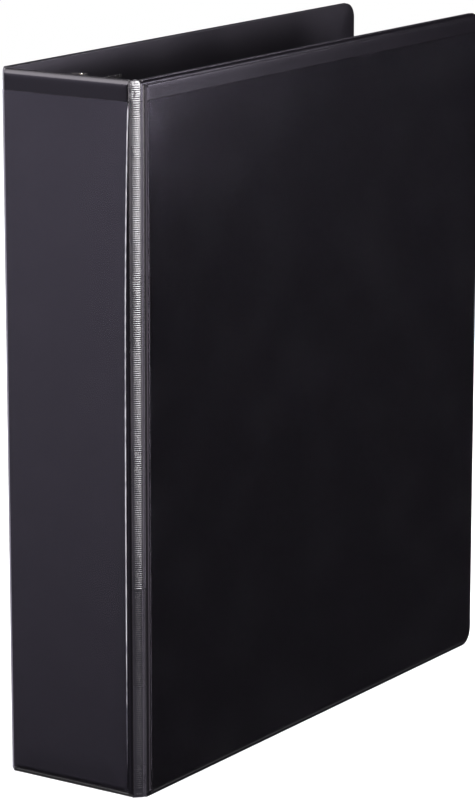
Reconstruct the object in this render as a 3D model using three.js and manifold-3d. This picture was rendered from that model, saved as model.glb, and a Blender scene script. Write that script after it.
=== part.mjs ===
// A three-ring view binder for letter-size paper, standing upright and closed.
// Three covered boards (front, spine, back) are joined by two welded creases, and a D-ring
// mechanism is riveted to the back cover. Units are millimetres.
//
// Frame: +Z up, origin on the ground at the middle of the case. The spine faces -Y, the covers
// run towards +Y, the front cover is on the +X side and the back cover on the -X side.
import * as THREE from "three";
import { mergeVertices } from "three/addons/utils/BufferGeometryUtils.js";
import Module from "manifold-3d";

// ---------------------------------------------------------------- driving dimensions
// Case
const caseHeight = 295.3;
const caseDepth = 266.7;
const spineWidth = 69.9;
const cornerRadius = 7;
const creaseCornerRadius = 1;
const boardThickness = 2.2;
const skinThickness = 0.35;
const weldRim = 2;
const layerGap = 0.05;
const creaseLeg = 4.2;
const creaseThickness = 0.9;
const creaseEndTrim = 1.5;
const pieceGap = 0.3;

// Clear pockets outside, vinyl pockets inside
const filmThickness = 0.2;
const filmClearance = 0.1;
const filmMargin = 1.2;
const filmMouthDrop = 8.5;
const pocketThickness = 0.25;
const pocketHeight = 178;
const pocketEdgeMargin = 5;
const frontPocketStart = 14;

// Rings
const ringPitch = 107.95;
const wireRadius = 2.1;
const frontClearance = 5.8;
const spineClearance = 8.4;
const postCornerRadius = 12;
const ringTipOffset = 13.2;
const bellyRadius = 22.5;
const footOffset = 7.2;
const footRun = 6.5;
const tipWedge = 1.5;
const tipGap = 0.3;

// Housing and blades
const housingOffset = 37;
const housingHalfWidth = 13.6;
const housingRise = 7;
const housingShoulder = 4;
const housingWall = 0.8;
const hemWidth = 2.6;
const hemHeight = 1.8;
const housingLift = 0.1;
const postOffset = 10;
const slotMargin = 0.6;
const curvedSlotInset = 4.2;
const bladeThickness = 1;
const bladePivotInset = 1.3;
const bladePivotHeight = 2.7;
const bladeEdgeBeyondPivot = 0.25;
const bladeSplit = 0.3;
const bladeClosedTilt = THREE.MathUtils.degToRad(3);
const footGap = 0.1;

// Rivets, triggers and pins
const rivetFromRing = 14;
const rivetShankRadius = 2.2;
const rivetHoleClearance = 0.3;
const rivetHeadRadius = 6;
const rivetHeadHeight = 1.3;
const rivetFlareRadius = 3.6;
const rivetFlareHeight = 0.7;
const rivetPostWall = 0.9;
const rivetPostHeadroom = 0.45;
const bladeNotchClearance = 0.8;
const triggerFromRivet = 14.2;
const housingEndFromTrigger = 3.5;
const triggerPivotHeight = 3;
const triggerHubRadius = 2.7;
const triggerBodyWidth = 8;
const triggerPadWidth = 15;
const triggerReach = 22.6;
const triggerPadStart = 9;
const triggerSheet = 1.4;
const triggerSlotClearance = 1.5;
const tongueLength = 4.5;
const tongueThickness = 0.9;
const tongueWidth = 6;
const hookLength = 4.1;
const hookThickness = 0.9;
const hookWidth = 3;
const hookPlay = 1.35;
const bladeEndFromPivot = 3.2;
const pinRadius = 1;
const pinClearance = 0.1;
const pinInset = 0.3;

// Facets
const cornerSegments = 8;
const wireSegments = 5;
const curvedWireSteps = 30;
const straightWireSteps = 26;
const roundSegments = 24;

// ---------------------------------------------------------------- values worked out from them
const coverThickness = boardThickness + 2 * skinThickness + 2 * layerGap;
const coverWidth = caseDepth - creaseLeg;
const spinePanelWidth = spineWidth - 2 * creaseLeg;
const spineOuterY = -caseDepth / 2;
const innerWidth = spineWidth - 2 * coverThickness;
const filmLift = filmClearance + filmThickness;
const ringTopHeight = innerWidth - frontClearance - wireRadius;
const bellyHeight = ringTopHeight - bellyRadius;
const bellyOffset = housingOffset - spineClearance - wireRadius;
const rivetZ = ringPitch + rivetFromRing;
const triggerZ = rivetZ + triggerFromRivet;
const housingHalfLength = triggerZ + housingEndFromTrigger;
const crownRadius =
  (housingHalfWidth ** 2 + (housingRise - housingShoulder) ** 2) /
  (2 * (housingRise - housingShoulder));
const rivetHoleRadius = rivetShankRadius + rivetHoleClearance;
const rivetPostRadius = rivetHoleRadius + rivetPostWall;
const bladePivotY = housingHalfWidth - bladePivotInset;
const bladeLength = 2 * (triggerZ - bladeEndFromPivot);
const tongueDrop =
  triggerPivotHeight -
  (bladePivotHeight -
    (bladePivotY - bladeSplit) * Math.sin(bladeClosedTilt) -
    bladeThickness / 2 -
    pieceGap);

// ---------------------------------------------------------------- solid and mesh helpers
const wasm = await Module();
wasm.setup();
const X = new THREE.Vector3(1, 0, 0);
const Y = new THREE.Vector3(0, 1, 0);
const Z = new THREE.Vector3(0, 0, 1);

// Turns a geometry's own x, y and z axes into the three given ones.
function turned(geometry, xAxis, yAxis, zAxis) {
  return geometry.applyMatrix4(new THREE.Matrix4().makeBasis(xAxis, yAxis, zAxis));
}

function solidOf(geometry) {
  const bare = new THREE.BufferGeometry();
  const loose = geometry.index ? geometry.toNonIndexed() : geometry;
  bare.setAttribute("position", loose.getAttribute("position"));
  const merged = mergeVertices(bare, 1e-4);
  return new wasm.Manifold(
    new wasm.Mesh({
      numProp: 3,
      vertProperties: merged.getAttribute("position").array,
      triVerts: new Uint32Array(merged.index.array),
    }),
  );
}

function geometryOf(solid) {
  const mesh = solid.getMesh();
  const indexed = new THREE.BufferGeometry();
  indexed.setAttribute("position", new THREE.BufferAttribute(mesh.vertProperties, 3));
  indexed.setIndex(new THREE.BufferAttribute(mesh.triVerts, 1));
  const flat = indexed.toNonIndexed();
  flat.computeVertexNormals();
  return flat;
}

function cut(geometry, ...tools) {
  return geometryOf(tools.reduce((rest, tool) => rest.subtract(solidOf(tool)), solidOf(geometry)));
}

function join(first, ...others) {
  return geometryOf(others.reduce((sum, other) => sum.add(solidOf(other)), solidOf(first)));
}

function extruded(shape, depth, segments = cornerSegments) {
  return new THREE.ExtrudeGeometry(shape, { depth, bevelEnabled: false, curveSegments: segments });
}

function box(low, high) {
  const size = high.map((value, axis) => value - low[axis]);
  const middle = high.map((value, axis) => (value + low[axis]) / 2);
  return new THREE.BoxGeometry(...size).translate(...middle);
}

// A cylinder whose axis runs along X from x0 to x1.
function rodAlongX(radius, x0, x1, y, z) {
  return new THREE.CylinderGeometry(radius, radius, x1 - x0, roundSegments)
    .rotateZ(-Math.PI / 2)
    .translate((x0 + x1) / 2, y, z);
}

// A cylinder whose axis runs along Y, centred on the middle of the housing.
function rodAlongY(radius, halfLength, x, z) {
  return new THREE.CylinderGeometry(radius, radius, 2 * halfLength, roundSegments).translate(x, 0, z);
}

const finishes = {
  skin: { color: 0x232126, roughness: 0.45, metalness: 0 },
  liner: { color: 0x1f1e22, roughness: 0.6, metalness: 0 },
  board: { color: 0x8a8378, roughness: 0.95, metalness: 0 },
  film: { color: 0x3a383f, roughness: 0.2, metalness: 0 },
  crease: { color: 0x3a3940, roughness: 0.4, metalness: 0 },
  nickel: { color: 0xc9c9c6, roughness: 0.22, metalness: 1 },
  steel: { color: 0x9fa1a3, roughness: 0.35, metalness: 1 },
};
const materials = Object.fromEntries(
  Object.entries(finishes).map(([name, look]) => [name, new THREE.MeshStandardMaterial(look)]),
);

function named(name, geometry, finish) {
  const mesh = new THREE.Mesh(geometry, materials[finish]);
  mesh.name = name;
  return mesh;
}

// ---------------------------------------------------------------- case panels
// A panel is drawn in its own frame: x across from its crease, y up, and z outwards with the
// outer face at z = 0. The back cover runs the other way across, so its side is -1.

// A rectangle whose near corners (towards the crease) and far corners have their own radii.
function panelShape(side, near, far, low, high, nearRadius, farRadius, farTopRadius = farRadius) {
  const shape = new THREE.Shape();
  const corners = [
    [near, low, nearRadius, Math.PI],
    [far, low, farRadius, -Math.PI / 2],
    [far, high, farTopRadius, 0],
    [near, high, nearRadius, Math.PI / 2],
  ];
  const points = corners.flatMap(([x, y, radius, start]) => {
    const centreX = x + (x === near ? radius : -radius);
    const centreY = y + (y === low ? radius : -radius);
    return Array.from({ length: cornerSegments + 1 }, (_, step) => {
      const angle = start + (step / cornerSegments) * (Math.PI / 2);
      const pointX = centreX + radius * Math.cos(angle);
      return new THREE.Vector2(side * pointX, centreY + radius * Math.sin(angle));
    });
  });
  shape.setFromPoints(points);
  return shape;
}

// A flat sheet of that shape whose outer face stands at the given z.
function sheet(shape, outerZ, thickness) {
  return extruded(shape, thickness).translate(0, 0, outerZ - thickness);
}

function panelRadii(isSpine, inset) {
  const near = Math.max(creaseCornerRadius - inset, 0.2);
  const far = isSpine ? near : Math.max(cornerRadius - inset, 0.2);
  return [near, far];
}

// The outer skin wraps over the board's edges: a shallow tray that is open to the inside.
function outerSkin(side, width, isSpine) {
  const outline = panelShape(side, 0, width, 0, caseHeight, ...panelRadii(isSpine, 0));
  const recess = panelShape(
    side, weldRim, width - weldRim, weldRim, caseHeight - weldRim, ...panelRadii(isSpine, weldRim),
  );
  return cut(sheet(outline, 0, coverThickness), sheet(recess, -skinThickness, coverThickness));
}

function insidePanel(side, width, isSpine, outerZ, thickness) {
  const inset = weldRim + layerGap;
  const shape = panelShape(
    side, inset, width - inset, inset, caseHeight - inset, ...panelRadii(isSpine, inset),
  );
  return sheet(shape, outerZ, thickness);
}

const boardOuterZ = -(skinThickness + layerGap);
const linerOuterZ = boardOuterZ - boardThickness - layerGap;

// The clear film is welded along the creases, the free edge and the bottom, and open at the top.
function clearFilm(side, width, isSpine) {
  const farRadius = isSpine ? creaseCornerRadius : cornerRadius - filmMargin;
  const shape = panelShape(
    side, filmMargin, width - filmMargin, filmMargin, caseHeight - filmMouthDrop,
    creaseCornerRadius, farRadius, creaseCornerRadius,
  );
  return sheet(shape, filmLift, filmThickness);
}

// A vinyl sheet welded to the liner along three sides, open at the top.
function innerPocket(side, start, width) {
  const shape = panelShape(
    side, start, width - pocketEdgeMargin, pocketEdgeMargin, pocketHeight,
    creaseCornerRadius, cornerRadius - weldRim, creaseCornerRadius,
  );
  return sheet(shape, -coverThickness - layerGap, pocketThickness);
}

function panel(label, side, width, holes = (geometry) => geometry) {
  const isSpine = label === "spine";
  const group = new THREE.Group();
  group.add(
    named(`${label}_outer_skin`, holes(outerSkin(side, width, isSpine)), "skin"),
    named(
      `${label}_board`,
      holes(insidePanel(side, width, isSpine, boardOuterZ, boardThickness)),
      "board",
    ),
    named(
      `${label}_inner_liner`,
      holes(insidePanel(side, width, isSpine, linerOuterZ, skinThickness)),
      "liner",
    ),
    named(`${label}_clear_overlay`, holes(clearFilm(side, width, isSpine)), "film"),
  );
  return group;
}

function standing(group, position, across, outward) {
  group.position.set(...position);
  group.quaternion.setFromRotationMatrix(new THREE.Matrix4().makeBasis(across, Z, outward));
  return group;
}

function frontCover() {
  const group = panel("front", 1, coverWidth);
  group.add(named("front_inner_pocket", innerPocket(1, frontPocketStart, coverWidth), "liner"));
  return standing(group, [spineWidth / 2, spineOuterY + creaseLeg, 0], Y, X);
}

function spine() {
  const group = panel("spine", 1, spinePanelWidth);
  return standing(group, [-spinePanelWidth / 2, spineOuterY, 0], X, Y.clone().negate());
}

// The rivets that hold the ring mechanism pass through every layer of the back cover.
function backCover() {
  const rivetAcross = housingOffset + coverThickness - creaseLeg;
  const rivetHoles = (geometry) =>
    cut(
      geometry,
      ...[-rivetZ, rivetZ].map((z) =>
        new THREE.CylinderGeometry(rivetHoleRadius, rivetHoleRadius, 4 * coverThickness, roundSegments)
          .rotateX(Math.PI / 2)
          .translate(-rivetAcross, caseHeight / 2 + z, 0),
      ),
    );
  const group = panel("back", -1, coverWidth, rivetHoles);
  const pocketStart =
    housingOffset + housingHalfWidth + coverThickness - creaseLeg + pocketEdgeMargin;
  group.add(named("back_inner_pocket", innerPocket(-1, pocketStart, coverWidth), "liner"));
  return standing(
    group,
    [-spineWidth / 2, spineOuterY + creaseLeg, 0],
    Y.clone().negate(),
    X.clone().negate(),
  );
}

// The welded strip between the spine and a cover, at 45 degrees when the binder is closed.
function crease(label, side) {
  const deep = creaseThickness * Math.SQRT2;
  const near = pieceGap;
  const far = creaseLeg - pieceGap;
  const shape = new THREE.Shape();
  shape.setFromPoints([
    new THREE.Vector2(side * near, near),
    new THREE.Vector2(side * far, far),
    new THREE.Vector2(side * (far - deep), far),
    new THREE.Vector2(side * near, near + deep),
  ]);
  const mesh = named(`${label}_crease`, extruded(shape, caseHeight - 2 * creaseEndTrim), "crease");
  mesh.position.set((side * spinePanelWidth) / 2, spineOuterY, creaseEndTrim);
  return mesh;
}

// ---------------------------------------------------------------- ring mechanism
// Everything below is drawn in the mechanism's frame: x is the height above the back cover's
// inner face, y is 0 at the housing's centre line and grows away from the spine, and z is 0 at
// mid height. The sign of a side is -1 towards the spine and +1 away from it.

function arcPoint(centreX, radius, angle) {
  return new THREE.Vector2(centreX + radius * Math.cos(angle), radius * Math.sin(angle));
}

// The housing's section: an arched spring-steel cover whose hemmed edges hold the blades.
function housingShape() {
  const crownX = housingRise - crownRadius;
  const innerRadius = crownRadius - housingWall;
  const innerHalf = housingHalfWidth - housingWall;
  const outerEnd = Math.asin(housingHalfWidth / crownRadius);
  const innerEnd = Math.asin(innerHalf / innerRadius);
  const crownSteps = 14;
  const sweep = (radius, from, to) =>
    Array.from({ length: crownSteps + 1 }, (_, step) =>
      arcPoint(crownX, radius, from + ((to - from) * step) / crownSteps),
    );
  const hem = housingHalfWidth - hemWidth;
  const points = [
    new THREE.Vector2(housingLift, hem),
    new THREE.Vector2(housingLift, housingHalfWidth - housingWall / 2),
    new THREE.Vector2(housingLift + housingWall / 2, housingHalfWidth),
    ...sweep(crownRadius, outerEnd, -outerEnd),
    new THREE.Vector2(housingLift + housingWall / 2, -housingHalfWidth),
    new THREE.Vector2(housingLift, -housingHalfWidth + housingWall / 2),
    new THREE.Vector2(housingLift, -hem),
    new THREE.Vector2(hemHeight, -hem),
    new THREE.Vector2(hemHeight, -innerHalf),
    ...sweep(innerRadius, -innerEnd, innerEnd),
    new THREE.Vector2(hemHeight, innerHalf),
    new THREE.Vector2(hemHeight, hem),
  ];
  const shape = new THREE.Shape();
  shape.setFromPoints(points);
  return shape;
}

function housing() {
  const arch = extruded(housingShape(), 2 * housingHalfLength).translate(0, 0, -housingHalfLength);
  const aboveCrown = housingRise + 1;
  const beyondEdge = housingHalfWidth + 1;
  const slotHalf = wireRadius + slotMargin;
  const wireSlots = [-ringPitch, 0, ringPitch].flatMap((z) => [
    box(
      [hemHeight, postOffset - slotHalf, z - slotHalf],
      [aboveCrown, beyondEdge, z + slotHalf],
    ),
    box(
      [hemHeight, -beyondEdge, z - slotHalf],
      [aboveCrown, -curvedSlotInset, z + slotHalf],
    ),
  ]);
  const triggerSlotHalf = triggerBodyWidth / 2 + triggerSlotClearance;
  const triggerSlotStart = triggerZ - tongueLength;
  const triggerSlots = [
    box(
      [hemHeight, -triggerSlotHalf, triggerSlotStart],
      [aboveCrown, triggerSlotHalf, housingHalfLength + 1],
    ),
    box(
      [hemHeight, -triggerSlotHalf, -housingHalfLength - 1],
      [aboveCrown, triggerSlotHalf, -triggerSlotStart],
    ),
  ];
  const bores = [-1, 1].flatMap((end) => [
    rodAlongX(rivetHoleRadius, housingLift, aboveCrown, 0, end * rivetZ),
    rodAlongY(pinRadius + pinClearance, beyondEdge, triggerPivotHeight, end * triggerZ),
  ]);
  return named("ring_housing", cut(arch, ...wireSlots, ...triggerSlots, ...bores), "nickel");
}

// The blade's frame is turned about its pivot, so that both blades dip towards the middle.
function onBlade(geometry, side) {
  return geometry
    .translate(0, -side * bladePivotY, 0)
    .rotateZ(-side * bladeClosedTilt)
    .translate(bladePivotHeight, side * bladePivotY, 0);
}

function blade(label, side) {
  const half = bladeThickness / 2;
  const ends = [side * bladeSplit, side * (bladePivotY + bladeEdgeBeyondPivot)].sort((a, b) => a - b);
  const plate = onBlade(
    box([-half, ends[0], -bladeLength / 2], [half, ends[1], bladeLength / 2]),
    side,
  );
  const notches = [-rivetZ, rivetZ].map((z) =>
    rodAlongX(rivetPostRadius + bladeNotchClearance, -1, 2 * housingRise, 0, z),
  );
  return named(`${label}_side_blade`, cut(plate, ...notches), "steel");
}

class PlanarCurve extends THREE.Curve {
  constructor(path) {
    super();
    this.path = path;
  }
  getPoint(t, target = new THREE.Vector3()) {
    const point = this.path.getPoint(t);
    return target.set(point.x, point.y, 0);
  }
}

function wire(path, steps) {
  const section = new THREE.Shape();
  section.absarc(0, 0, wireRadius, 0, 2 * Math.PI);
  return new THREE.ExtrudeGeometry(section, {
    steps,
    curveSegments: wireSegments,
    extrudePath: new PlanarCurve(path),
  });
}

// The straight post stands on its blade and turns over at the top.
function straightHalfPath() {
  const cornerX = ringTopHeight - postCornerRadius;
  const cornerY = postOffset - postCornerRadius;
  const path = new THREE.Path();
  path.moveTo(0, postOffset);
  path.lineTo(cornerX, postOffset);
  path.absarc(cornerX, cornerY, postCornerRadius, Math.PI / 2, 0, true);
  path.lineTo(ringTopHeight, postOffset - ringTipOffset - 2 * tipWedge);
  return path;
}

// The curved half bellies out towards the spine in two arcs and runs straight into its blade.
// The lower arc starts upright at the belly and is tangent to that straight run.
function curvedHalfPath() {
  const upperY = bellyRadius - bellyOffset;
  const drop = bellyHeight - bladePivotHeight;
  const reach = bellyOffset - footOffset;
  const lowerRadius = (drop ** 2 + reach ** 2 - footRun ** 2) / (2 * reach);
  const lowerY = lowerRadius - bellyOffset;
  const slant = Math.atan2(drop, lowerRadius - reach) - Math.atan2(footRun, lowerRadius);
  const pastBlade = 2 * wireRadius;
  const path = new THREE.Path();
  path.moveTo(ringTopHeight, postOffset - ringTipOffset + 2 * tipWedge);
  path.lineTo(ringTopHeight, upperY);
  path.absarc(bellyHeight, upperY, bellyRadius, 0, -Math.PI / 2, true);
  path.absarc(bellyHeight, lowerY, lowerRadius, -Math.PI / 2, -Math.PI / 2 - slant, true);
  path.lineTo(
    bladePivotHeight - pastBlade * Math.cos(slant),
    -footOffset + pastBlade * Math.sin(slant),
  );
  return path;
}

// The region past a V-shaped line across the wire, on one side of where the two halves meet.
function tipTool(side) {
  const reach = 1.2 * wireRadius;
  const meet = postOffset - ringTipOffset + (side * tipGap) / 2;
  const far = meet - side * 4 * tipWedge;
  const shape = new THREE.Shape();
  shape.setFromPoints([
    new THREE.Vector2(meet, -reach),
    new THREE.Vector2(meet - tipWedge, 0),
    new THREE.Vector2(meet, reach),
    new THREE.Vector2(far, reach),
    new THREE.Vector2(far, -reach),
  ]);
  const height = 4 * wireRadius;
  return turned(extruded(shape, height), Y, Z, X).translate(ringTopHeight - height / 2, 0, 0);
}

// Everything below the top of a blade, so that a ring's foot is cut flat on it.
function underBlade(side) {
  const reach = 2 * housingHalfWidth;
  const top = bladeThickness / 2 + footGap;
  return onBlade(box([-reach, -reach, -reach], [top, reach, reach]), side);
}

const ringStations = { top: ringPitch, middle: 0, bottom: -ringPitch };

function ringHalves(label, side, path, steps) {
  const body = cut(wire(path, steps), tipTool(side), underBlade(side));
  return Object.entries(ringStations).map(([station, z]) => {
    const mesh = named(`${label}_ring_${station}`, body.clone(), "nickel");
    mesh.position.z = z;
    return mesh;
  });
}

// A tubular rivet: a domed head outside the back cover, and a flare over the housing's crown.
function rivet(label, z) {
  const underHead = -(coverThickness + filmLift + layerGap);
  const crown = housingRise + layerGap;
  const profile = [
    [0, underHead - rivetHeadHeight],
    [rivetHeadRadius * 0.45, underHead - rivetHeadHeight * 0.92],
    [rivetHeadRadius * 0.8, underHead - rivetHeadHeight * 0.66],
    [rivetHeadRadius, underHead - rivetHeadHeight * 0.25],
    [rivetHeadRadius, underHead],
    [rivetShankRadius, underHead],
    [rivetShankRadius, crown],
    [rivetFlareRadius, crown],
    [rivetFlareRadius * 0.9, crown + rivetFlareHeight],
    [0, crown + rivetFlareHeight],
  ].map(([radius, height]) => new THREE.Vector2(radius, height));
  const turnedRivet = turned(new THREE.LatheGeometry(profile, roundSegments), Y, X, Z.clone().negate());
  const mesh = named(`${label}_rivet`, turnedRivet, "nickel");
  mesh.position.z = z;
  return mesh;
}

// The bush that keeps the rivet from crushing the housing.
function rivetPost(label, z) {
  const bush = cut(
    rodAlongX(rivetPostRadius, housingLift, housingRise - housingWall - rivetPostHeadroom, 0, 0),
    rodAlongX(rivetHoleRadius, -1, 2 * housingRise, 0, 0),
  );
  const mesh = named(`${label}_rivet_post`, bush, "steel");
  mesh.position.z = z;
  return mesh;
}

// The trigger is drawn about its pivot: a is the way out past the housing's end, b is up.
function triggerGeometry() {
  const slab = (shape, width) =>
    turned(extruded(shape, width), Z, X, Y).translate(0, -width / 2, 0);
  const hub = rodAlongY(triggerHubRadius, triggerBodyWidth / 2, 0, 0);
  const lean = 0.13;
  const tipCurl = 2.2;
  const armAt = (b) => lean * b + tipCurl * (b / triggerReach) ** 3 - triggerSheet / 2;
  const sideOf = (from, to, shift) =>
    Array.from({ length: 9 }, (_, step) => {
      const b = from + ((to - from) * step) / 8;
      return new THREE.Vector2(armAt(b) + shift, b);
    });
  const arm = new THREE.Shape();
  arm.setFromPoints([
    ...sideOf(0, triggerReach, triggerSheet),
    ...sideOf(triggerReach, 0, 0),
  ]);
  const pad = new THREE.Shape();
  pad.setFromPoints([
    ...sideOf(triggerPadStart, triggerReach, triggerSheet),
    ...sideOf(triggerReach, triggerPadStart, 0),
  ]);
  const tongue = box(
    [-tongueDrop - tongueThickness, -tongueWidth / 2, -tongueLength],
    [-tongueDrop, tongueWidth / 2, 0],
  );
  const hookBase = -tongueDrop + bladeThickness + hookPlay;
  const hook = box(
    [hookBase, -hookWidth / 2, -hookLength],
    [hookBase + hookThickness, hookWidth / 2, 0],
  );
  const whole = join(hub, slab(arm, triggerBodyWidth), slab(pad, triggerPadWidth), tongue, hook);
  return cut(whole, rodAlongY(pinRadius + pinClearance, triggerBodyWidth, 0, 0));
}

function trigger(label, end) {
  const mesh = named(`${label}_trigger`, triggerGeometry(), "nickel");
  mesh.position.set(triggerPivotHeight, 0, end * triggerZ);
  if (end < 0) mesh.rotation.x = Math.PI;
  return mesh;
}

function triggerPin(label, end) {
  const mesh = named(`${label}_trigger_pin`, rodAlongY(pinRadius, housingHalfWidth - pinInset, 0, 0), "steel");
  mesh.position.set(triggerPivotHeight, 0, end * triggerZ);
  return mesh;
}

function ringMechanism() {
  const group = new THREE.Group();
  group.add(
    housing(),
    blade("curved", -1),
    blade("straight", 1),
    ...ringHalves("curved", -1, curvedHalfPath(), curvedWireSteps),
    ...ringHalves("straight", 1, straightHalfPath(), straightWireSteps),
  );
  for (const [label, end] of [["top", 1], ["bottom", -1]]) {
    group.add(
      trigger(label, end),
      triggerPin(label, end),
      rivet(label, end * rivetZ),
      rivetPost(label, end * rivetZ),
    );
  }
  group.position.set(
    -spineWidth / 2 + coverThickness,
    spineOuterY + coverThickness + housingOffset,
    caseHeight / 2,
  );
  return group;
}

// ---------------------------------------------------------------- the binder
const binder = new THREE.Group();
binder.add(frontCover(), spine(), backCover(), crease("front", 1), crease("back", -1), ringMechanism());
// The rivet heads and the spine's film stand out on one side only, so the case is moved to keep
// the origin at the middle of the whole.
binder.position.set((rivetHeadHeight + layerGap) / 2, filmLift / 2, 0);

export default binder;
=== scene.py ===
import math

import bmesh
import bpy
import numpy as np
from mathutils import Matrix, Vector, noise


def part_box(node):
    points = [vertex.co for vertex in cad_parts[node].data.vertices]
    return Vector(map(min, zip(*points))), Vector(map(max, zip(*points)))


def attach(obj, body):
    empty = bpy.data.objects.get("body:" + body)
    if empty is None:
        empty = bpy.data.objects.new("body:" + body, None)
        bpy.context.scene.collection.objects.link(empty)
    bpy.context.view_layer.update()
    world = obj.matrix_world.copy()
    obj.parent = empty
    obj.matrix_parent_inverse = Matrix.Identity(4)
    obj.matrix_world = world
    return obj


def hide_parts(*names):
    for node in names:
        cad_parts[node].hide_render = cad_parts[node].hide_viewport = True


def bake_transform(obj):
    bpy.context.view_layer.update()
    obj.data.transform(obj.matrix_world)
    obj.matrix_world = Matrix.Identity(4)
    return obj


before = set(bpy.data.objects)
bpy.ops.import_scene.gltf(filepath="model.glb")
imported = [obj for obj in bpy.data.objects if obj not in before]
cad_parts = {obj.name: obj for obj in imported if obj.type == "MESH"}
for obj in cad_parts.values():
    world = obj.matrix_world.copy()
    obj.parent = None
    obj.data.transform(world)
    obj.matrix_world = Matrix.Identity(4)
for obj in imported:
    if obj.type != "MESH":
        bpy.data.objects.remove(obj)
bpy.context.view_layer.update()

mm = 0.001


# ------------------------------------------------------------------ greyboards
# Each panel is stiffened by a sheet of recycled chipboard, 2.2 mm thick and guillotined to size.
# The boards are loose inside the welded vinyl, so they show only if a weld is slit open.
board_grey = (0.27, 0.25, 0.22, 1)
board_fleck = (0.15, 0.13, 0.11, 1)
board_fleck_size = 1.6 * mm
board_fleck_start, board_fleck_full = 0.42, 0.6
board_fibre_depth = 0.1 * mm


def add_node(tree, kind, **values):
    """Adds a shader node and sets its sockets (underscores stand for spaces)."""
    made = tree.nodes.new(kind)
    for socket, value in values.items():
        made.inputs[socket.replace("_", " ")].default_value = value
    return made


def arithmetic(tree, operation, first, second=0.0):
    """A Math node on two values, each a number or another node's output."""
    made = tree.nodes.new("ShaderNodeMath")
    made.operation = operation
    for socket, value in zip(made.inputs, (first, second)):
        if isinstance(value, bpy.types.NodeSocket):
            tree.links.new(value, socket)
        else:
            socket.default_value = value
    return made.outputs["Value"]


def ramp(tree, factor, low, high, low_value, high_value):
    """Maps factor from low..high to low_value..high_value, held flat outside."""
    made = add_node(tree, "ShaderNodeMapRange", From_Min=low, From_Max=high)
    made.inputs["To Min"].default_value = low_value
    made.inputs["To Max"].default_value = high_value
    tree.links.new(factor, made.inputs["Value"])
    return made.outputs["Result"]


def object_noise(tree, size, detail=3.0, stretch=(1, 1, 1)):
    """Noise with features of about that size, drawn out along the piece's axes by stretch."""
    place = tree.nodes.new("ShaderNodeTexCoord")
    scaled = tree.nodes.new("ShaderNodeMapping")
    scaled.inputs["Scale"].default_value = [1 / (size * share) for share in stretch]
    tree.links.new(place.outputs["Object"], scaled.inputs["Vector"])
    made = add_node(tree, "ShaderNodeTexNoise", Scale=1.0, Detail=detail)
    tree.links.new(scaled.outputs["Vector"], made.inputs["Vector"])
    return made.outputs["Fac"]


def tint(tree, factor, first, second):
    """A colour between two others, by factor."""
    made = tree.nodes.new("ShaderNodeMix")
    made.data_type = "RGBA"
    made.inputs["A"].default_value = first
    made.inputs["B"].default_value = second
    tree.links.new(factor, made.inputs["Factor"])
    return made.outputs["Result"]


def new_material(name, **settings):
    """A Principled material; settings hold what is the same all over it."""
    material = bpy.data.materials.new(name)
    material.use_nodes = True
    principled = material.node_tree.nodes["Principled BSDF"]
    for socket, value in settings.items():
        principled.inputs[socket.replace("_", " ")].default_value = value
    return material, material.node_tree, principled


def add_bump(tree, principled, height, depth):
    """Raises the surface by depth where height is 1."""
    bump = add_node(tree, "ShaderNodeBump", Distance=depth, Strength=1.0)
    tree.links.new(height, bump.inputs["Height"])
    tree.links.new(bump.outputs["Normal"], principled.inputs["Normal"])


def greyboard_material():
    """Grey pulp with darker flecks of print and fibre."""
    material, tree, principled = new_material("greyboard", Roughness=0.95)
    fibres = object_noise(tree, board_fleck_size, 8.0)
    fleck = ramp(tree, fibres, board_fleck_start, board_fleck_full, 0.0, 1.0)
    tree.links.new(tint(tree, fleck, board_grey, board_fleck), principled.inputs["Base Color"])
    add_bump(tree, principled, fibres, board_fibre_depth)
    return material


greyboard = greyboard_material()
for label in ("front", "spine", "back"):
    board_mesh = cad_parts[f"{label}_board"].data
    board_mesh.materials.clear()
    board_mesh.materials.append(greyboard)


# ------------------------------------------------------------------ vinyl covering
# Two sheets of black calendered vinyl are welded together round each board by a heated die, which
# leaves a raised bead along the free edges with a pressed groove inside it. The die also leaves a
# softer shoulder where the sheets run on into the creases.
bead_radius = 7 * mm
crease_corner = 1 * mm
sharpest_corner = 0.15 * mm
corner_support = 0.6 * mm
most_support = 0.2
corner_steps = 8
mouth_drop = 8.5 * mm
usual_grain_size = 0.4 * mm
fine_grain_share = 0.6
vinyl_patch_size = 35 * mm
patch_low, patch_high = 0.3, 0.7
press_edge = 0.5 * mm
press_patchiness = 0.02

# Profiles across an edge, from the middle of the face to the inside: (inset, depth) in mm, with
# the outer face at depth 0. Those of one piece have as many points, so that corners can blend.
skin_bead = [
    (14, 0), (4.2, 0), (3.0, 0), (2.75, -0.02), (2.6, -0.08), (2.48, -0.22), (2.38, -0.42),
    (2.26, -0.64), (2.1, -0.82), (1.88, -0.93), (1.6, -0.97), (1.3, -0.95), (1.0, -0.9),
    (0.72, -0.84), (0.5, -0.79), (0.32, -0.78), (0.16, -0.84), (0.04, -1.0), (0, -1.3),
    (0.2, -1.95), (1.9, -1.94), (1.97, -0.9), (2.04, -0.38), (14, -0.37),
]
skin_crease = [
    (14, 0), (4.2, 0), (2.4, -0.01), (1.6, -0.03), (1.15, -0.07), (0.8, -0.13), (0.54, -0.22),
    (0.34, -0.34), (0.2, -0.47), (0.1, -0.6), (0.04, -0.74), (0.01, -0.88), (0, -1.02),
    (0, -1.16), (0, -1.3), (0, -1.44), (0, -1.58), (0, -1.7), (0, -1.82),
    (0.02, -1.94), (1.9, -1.94), (1.96, -0.5), (2.2, -0.38), (14, -0.37),
]
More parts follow.
